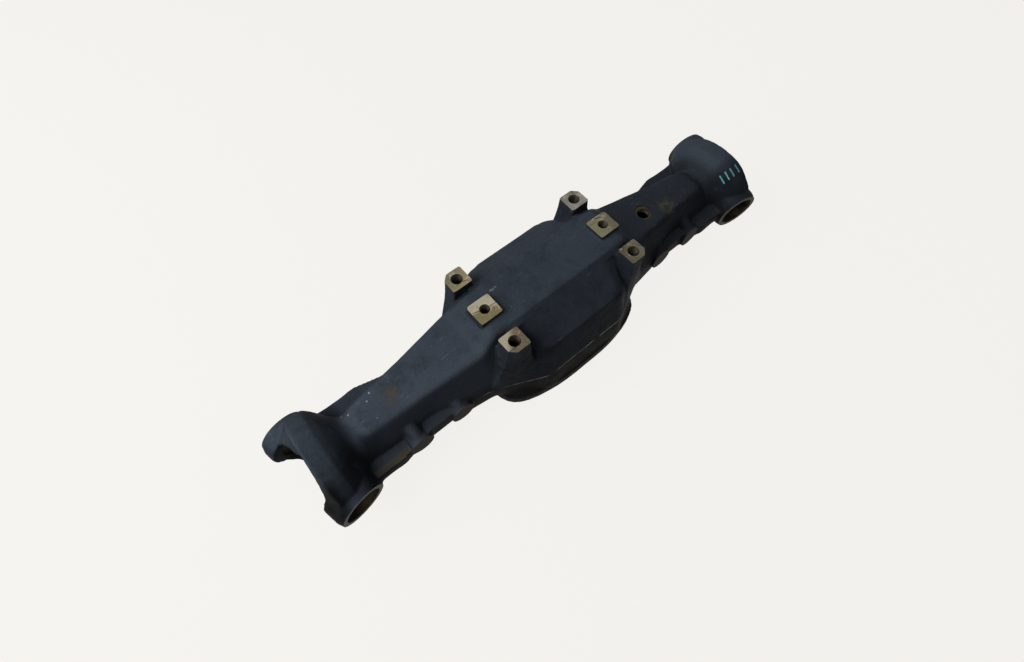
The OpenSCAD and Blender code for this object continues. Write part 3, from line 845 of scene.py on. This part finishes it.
def machine(obj):
    """Mills, bores, taps and countersinks the casting, each with the look of its faces."""
    rim = plain_metal("rim_metal", RIM_SHADES, 0.5, 0)
    boss = plain_metal("boss_metal", BOSS_SHADES, 0.7, 0)
    tap = plain_metal("tap_metal", TAP_SHADES, 0.35, 0.2)
    bore = bore_metal()
    for name, fill, material in (("mill_pads", mill("pads"), pad_metal()), ("mill_rims", mill("rims"), rim),
                                 ("mill_bosses", mill("bosses"), boss), ("bore_seats", bore_seats, bore),
                                 ("bore_passages", bore_passages, bore), ("tap_holes", tap_holes, tap),
                                 ("sink_holes", sink_holes, tap)):
        cut(obj, name, fill, material)


def housing():
    obj = cast()
    machine(obj)
    obj.data.shade_smooth()
    obj.data.set_sharp_from_angle(angle=SHARP)
    shading = obj.modifiers.new("shading", "WEIGHTED_NORMAL")
    shading.keep_sharp = True
    settle(obj)
    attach(obj, "root")
    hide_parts(NODE)


# Floor, light and camera

CAMERA_AT = Vector((-0.4518, -0.4264, 1.1494))
CAMERA_BACK = Vector((-0.291, -0.347, 0.8915))
CAMERA_LENS = 18.19
CAMERA_SENSOR = 36
CAMERA_CLIP = 0.01
# One large, soft lamp
KEY_AT = Vector((-2.6, 0.9, 1.9))
KEY_TARGET = Vector((0, 0, 0.1))
KEY_WIDTH = 3.5
KEY_POWER = 122
# Light of the world on the object, and where it is seen or mirrored
SKY_LEVEL = 0.15
SKY_SEEN = 1.0
# Floor: half its width, its drop under the flange's face, and its glow's strength and share where it is seen
FLOOR_HALF = 30
FLOOR_DROP = 0.5 * MM
FLOOR_GLOW = 1.0
FLOOR_SHARE = 0.94


def stand(name, data, place, direction):
    """Object at a place that looks in a direction."""
    obj = bpy.data.objects.new(name, data)
    obj.location = place
    obj.rotation_mode = "QUATERNION"
    obj.rotation_quaternion = direction.to_track_quat("-Z", "Y")
    bpy.context.scene.collection.objects.link(obj)
    return obj


def camera():
    data = bpy.data.cameras.new("camera")
    data.lens = CAMERA_LENS
    data.sensor_width = CAMERA_SENSOR
    data.clip_start = CAMERA_CLIP
    bpy.context.scene.camera = stand("camera", data, CAMERA_AT, -CAMERA_BACK)


def floor():
    """Pale floor: it glows for the camera and still takes a soft shadow, and throws little light back up."""
    mesh = bpy.data.meshes.new("floor")
    bm = bmesh.new()
    bmesh.ops.create_grid(bm, x_segments=1, y_segments=1, size=FLOOR_HALF)
    bm.to_mesh(mesh)
    bm.free()
    obj = bpy.data.objects.new("floor", mesh)
    obj.location.z = -FLOOR_DROP
    bpy.context.scene.collection.objects.link(obj)
    p = Paint("floor")
    path = p.node("ShaderNodeLightPath").outputs
    seen = p.most(path["Is Camera Ray"], path["Is Glossy Ray"], path["Is Transmission Ray"])
    p.finish(Base_Color=p.mix(seen, BOUNCE, CREAM), Roughness=1.0, Specular_IOR_Level=0.0)
    glow = p.node("ShaderNodeEmission", CREAM, FLOOR_GLOW)
    both = p.node("ShaderNodeMixShader", p.product(seen, FLOOR_SHARE), p.surface.outputs[0], glow.outputs[0])
    p.put(p.tree.nodes["Material Output"].inputs["Surface"], both.outputs[0])
    mesh.materials.append(p.material)


def sky():
    """World that lights the object a little and is white where it is seen or mirrored."""
    world = bpy.data.worlds.new("studio")
    bpy.context.scene.world = world
    world.use_nodes = True
    nodes, links = world.node_tree.nodes, world.node_tree.links
    background = nodes["Background"]
    background.inputs["Color"].default_value = CREAM
    path = nodes.new("ShaderNodeLightPath").outputs
    seen = path["Is Camera Ray"]
    for ray in ("Is Glossy Ray", "Is Transmission Ray"):
        step = nodes.new("ShaderNodeMath")
        step.operation = "MAXIMUM"
        links.new(seen, step.inputs[0])
        links.new(path[ray], step.inputs[1])
        seen = step.outputs[0]
    level = nodes.new("ShaderNodeMapRange")
    level.inputs["To Min"].default_value = SKY_LEVEL
    level.inputs["To Max"].default_value = SKY_SEEN
    links.new(seen, level.inputs["Value"])
    links.new(level.outputs[0], background.inputs["Strength"])


def key_lamp():
    data = bpy.data.lights.new("key", "AREA")
    data.shape = "SQUARE"
    data.size = KEY_WIDTH
    data.energy = KEY_POWER
    stand("key", data, KEY_AT, KEY_TARGET - KEY_AT)


housing()
floor()
sky()
key_lamp()
camera()
bpy.context.scene.view_settings.view_transform = "Standard"
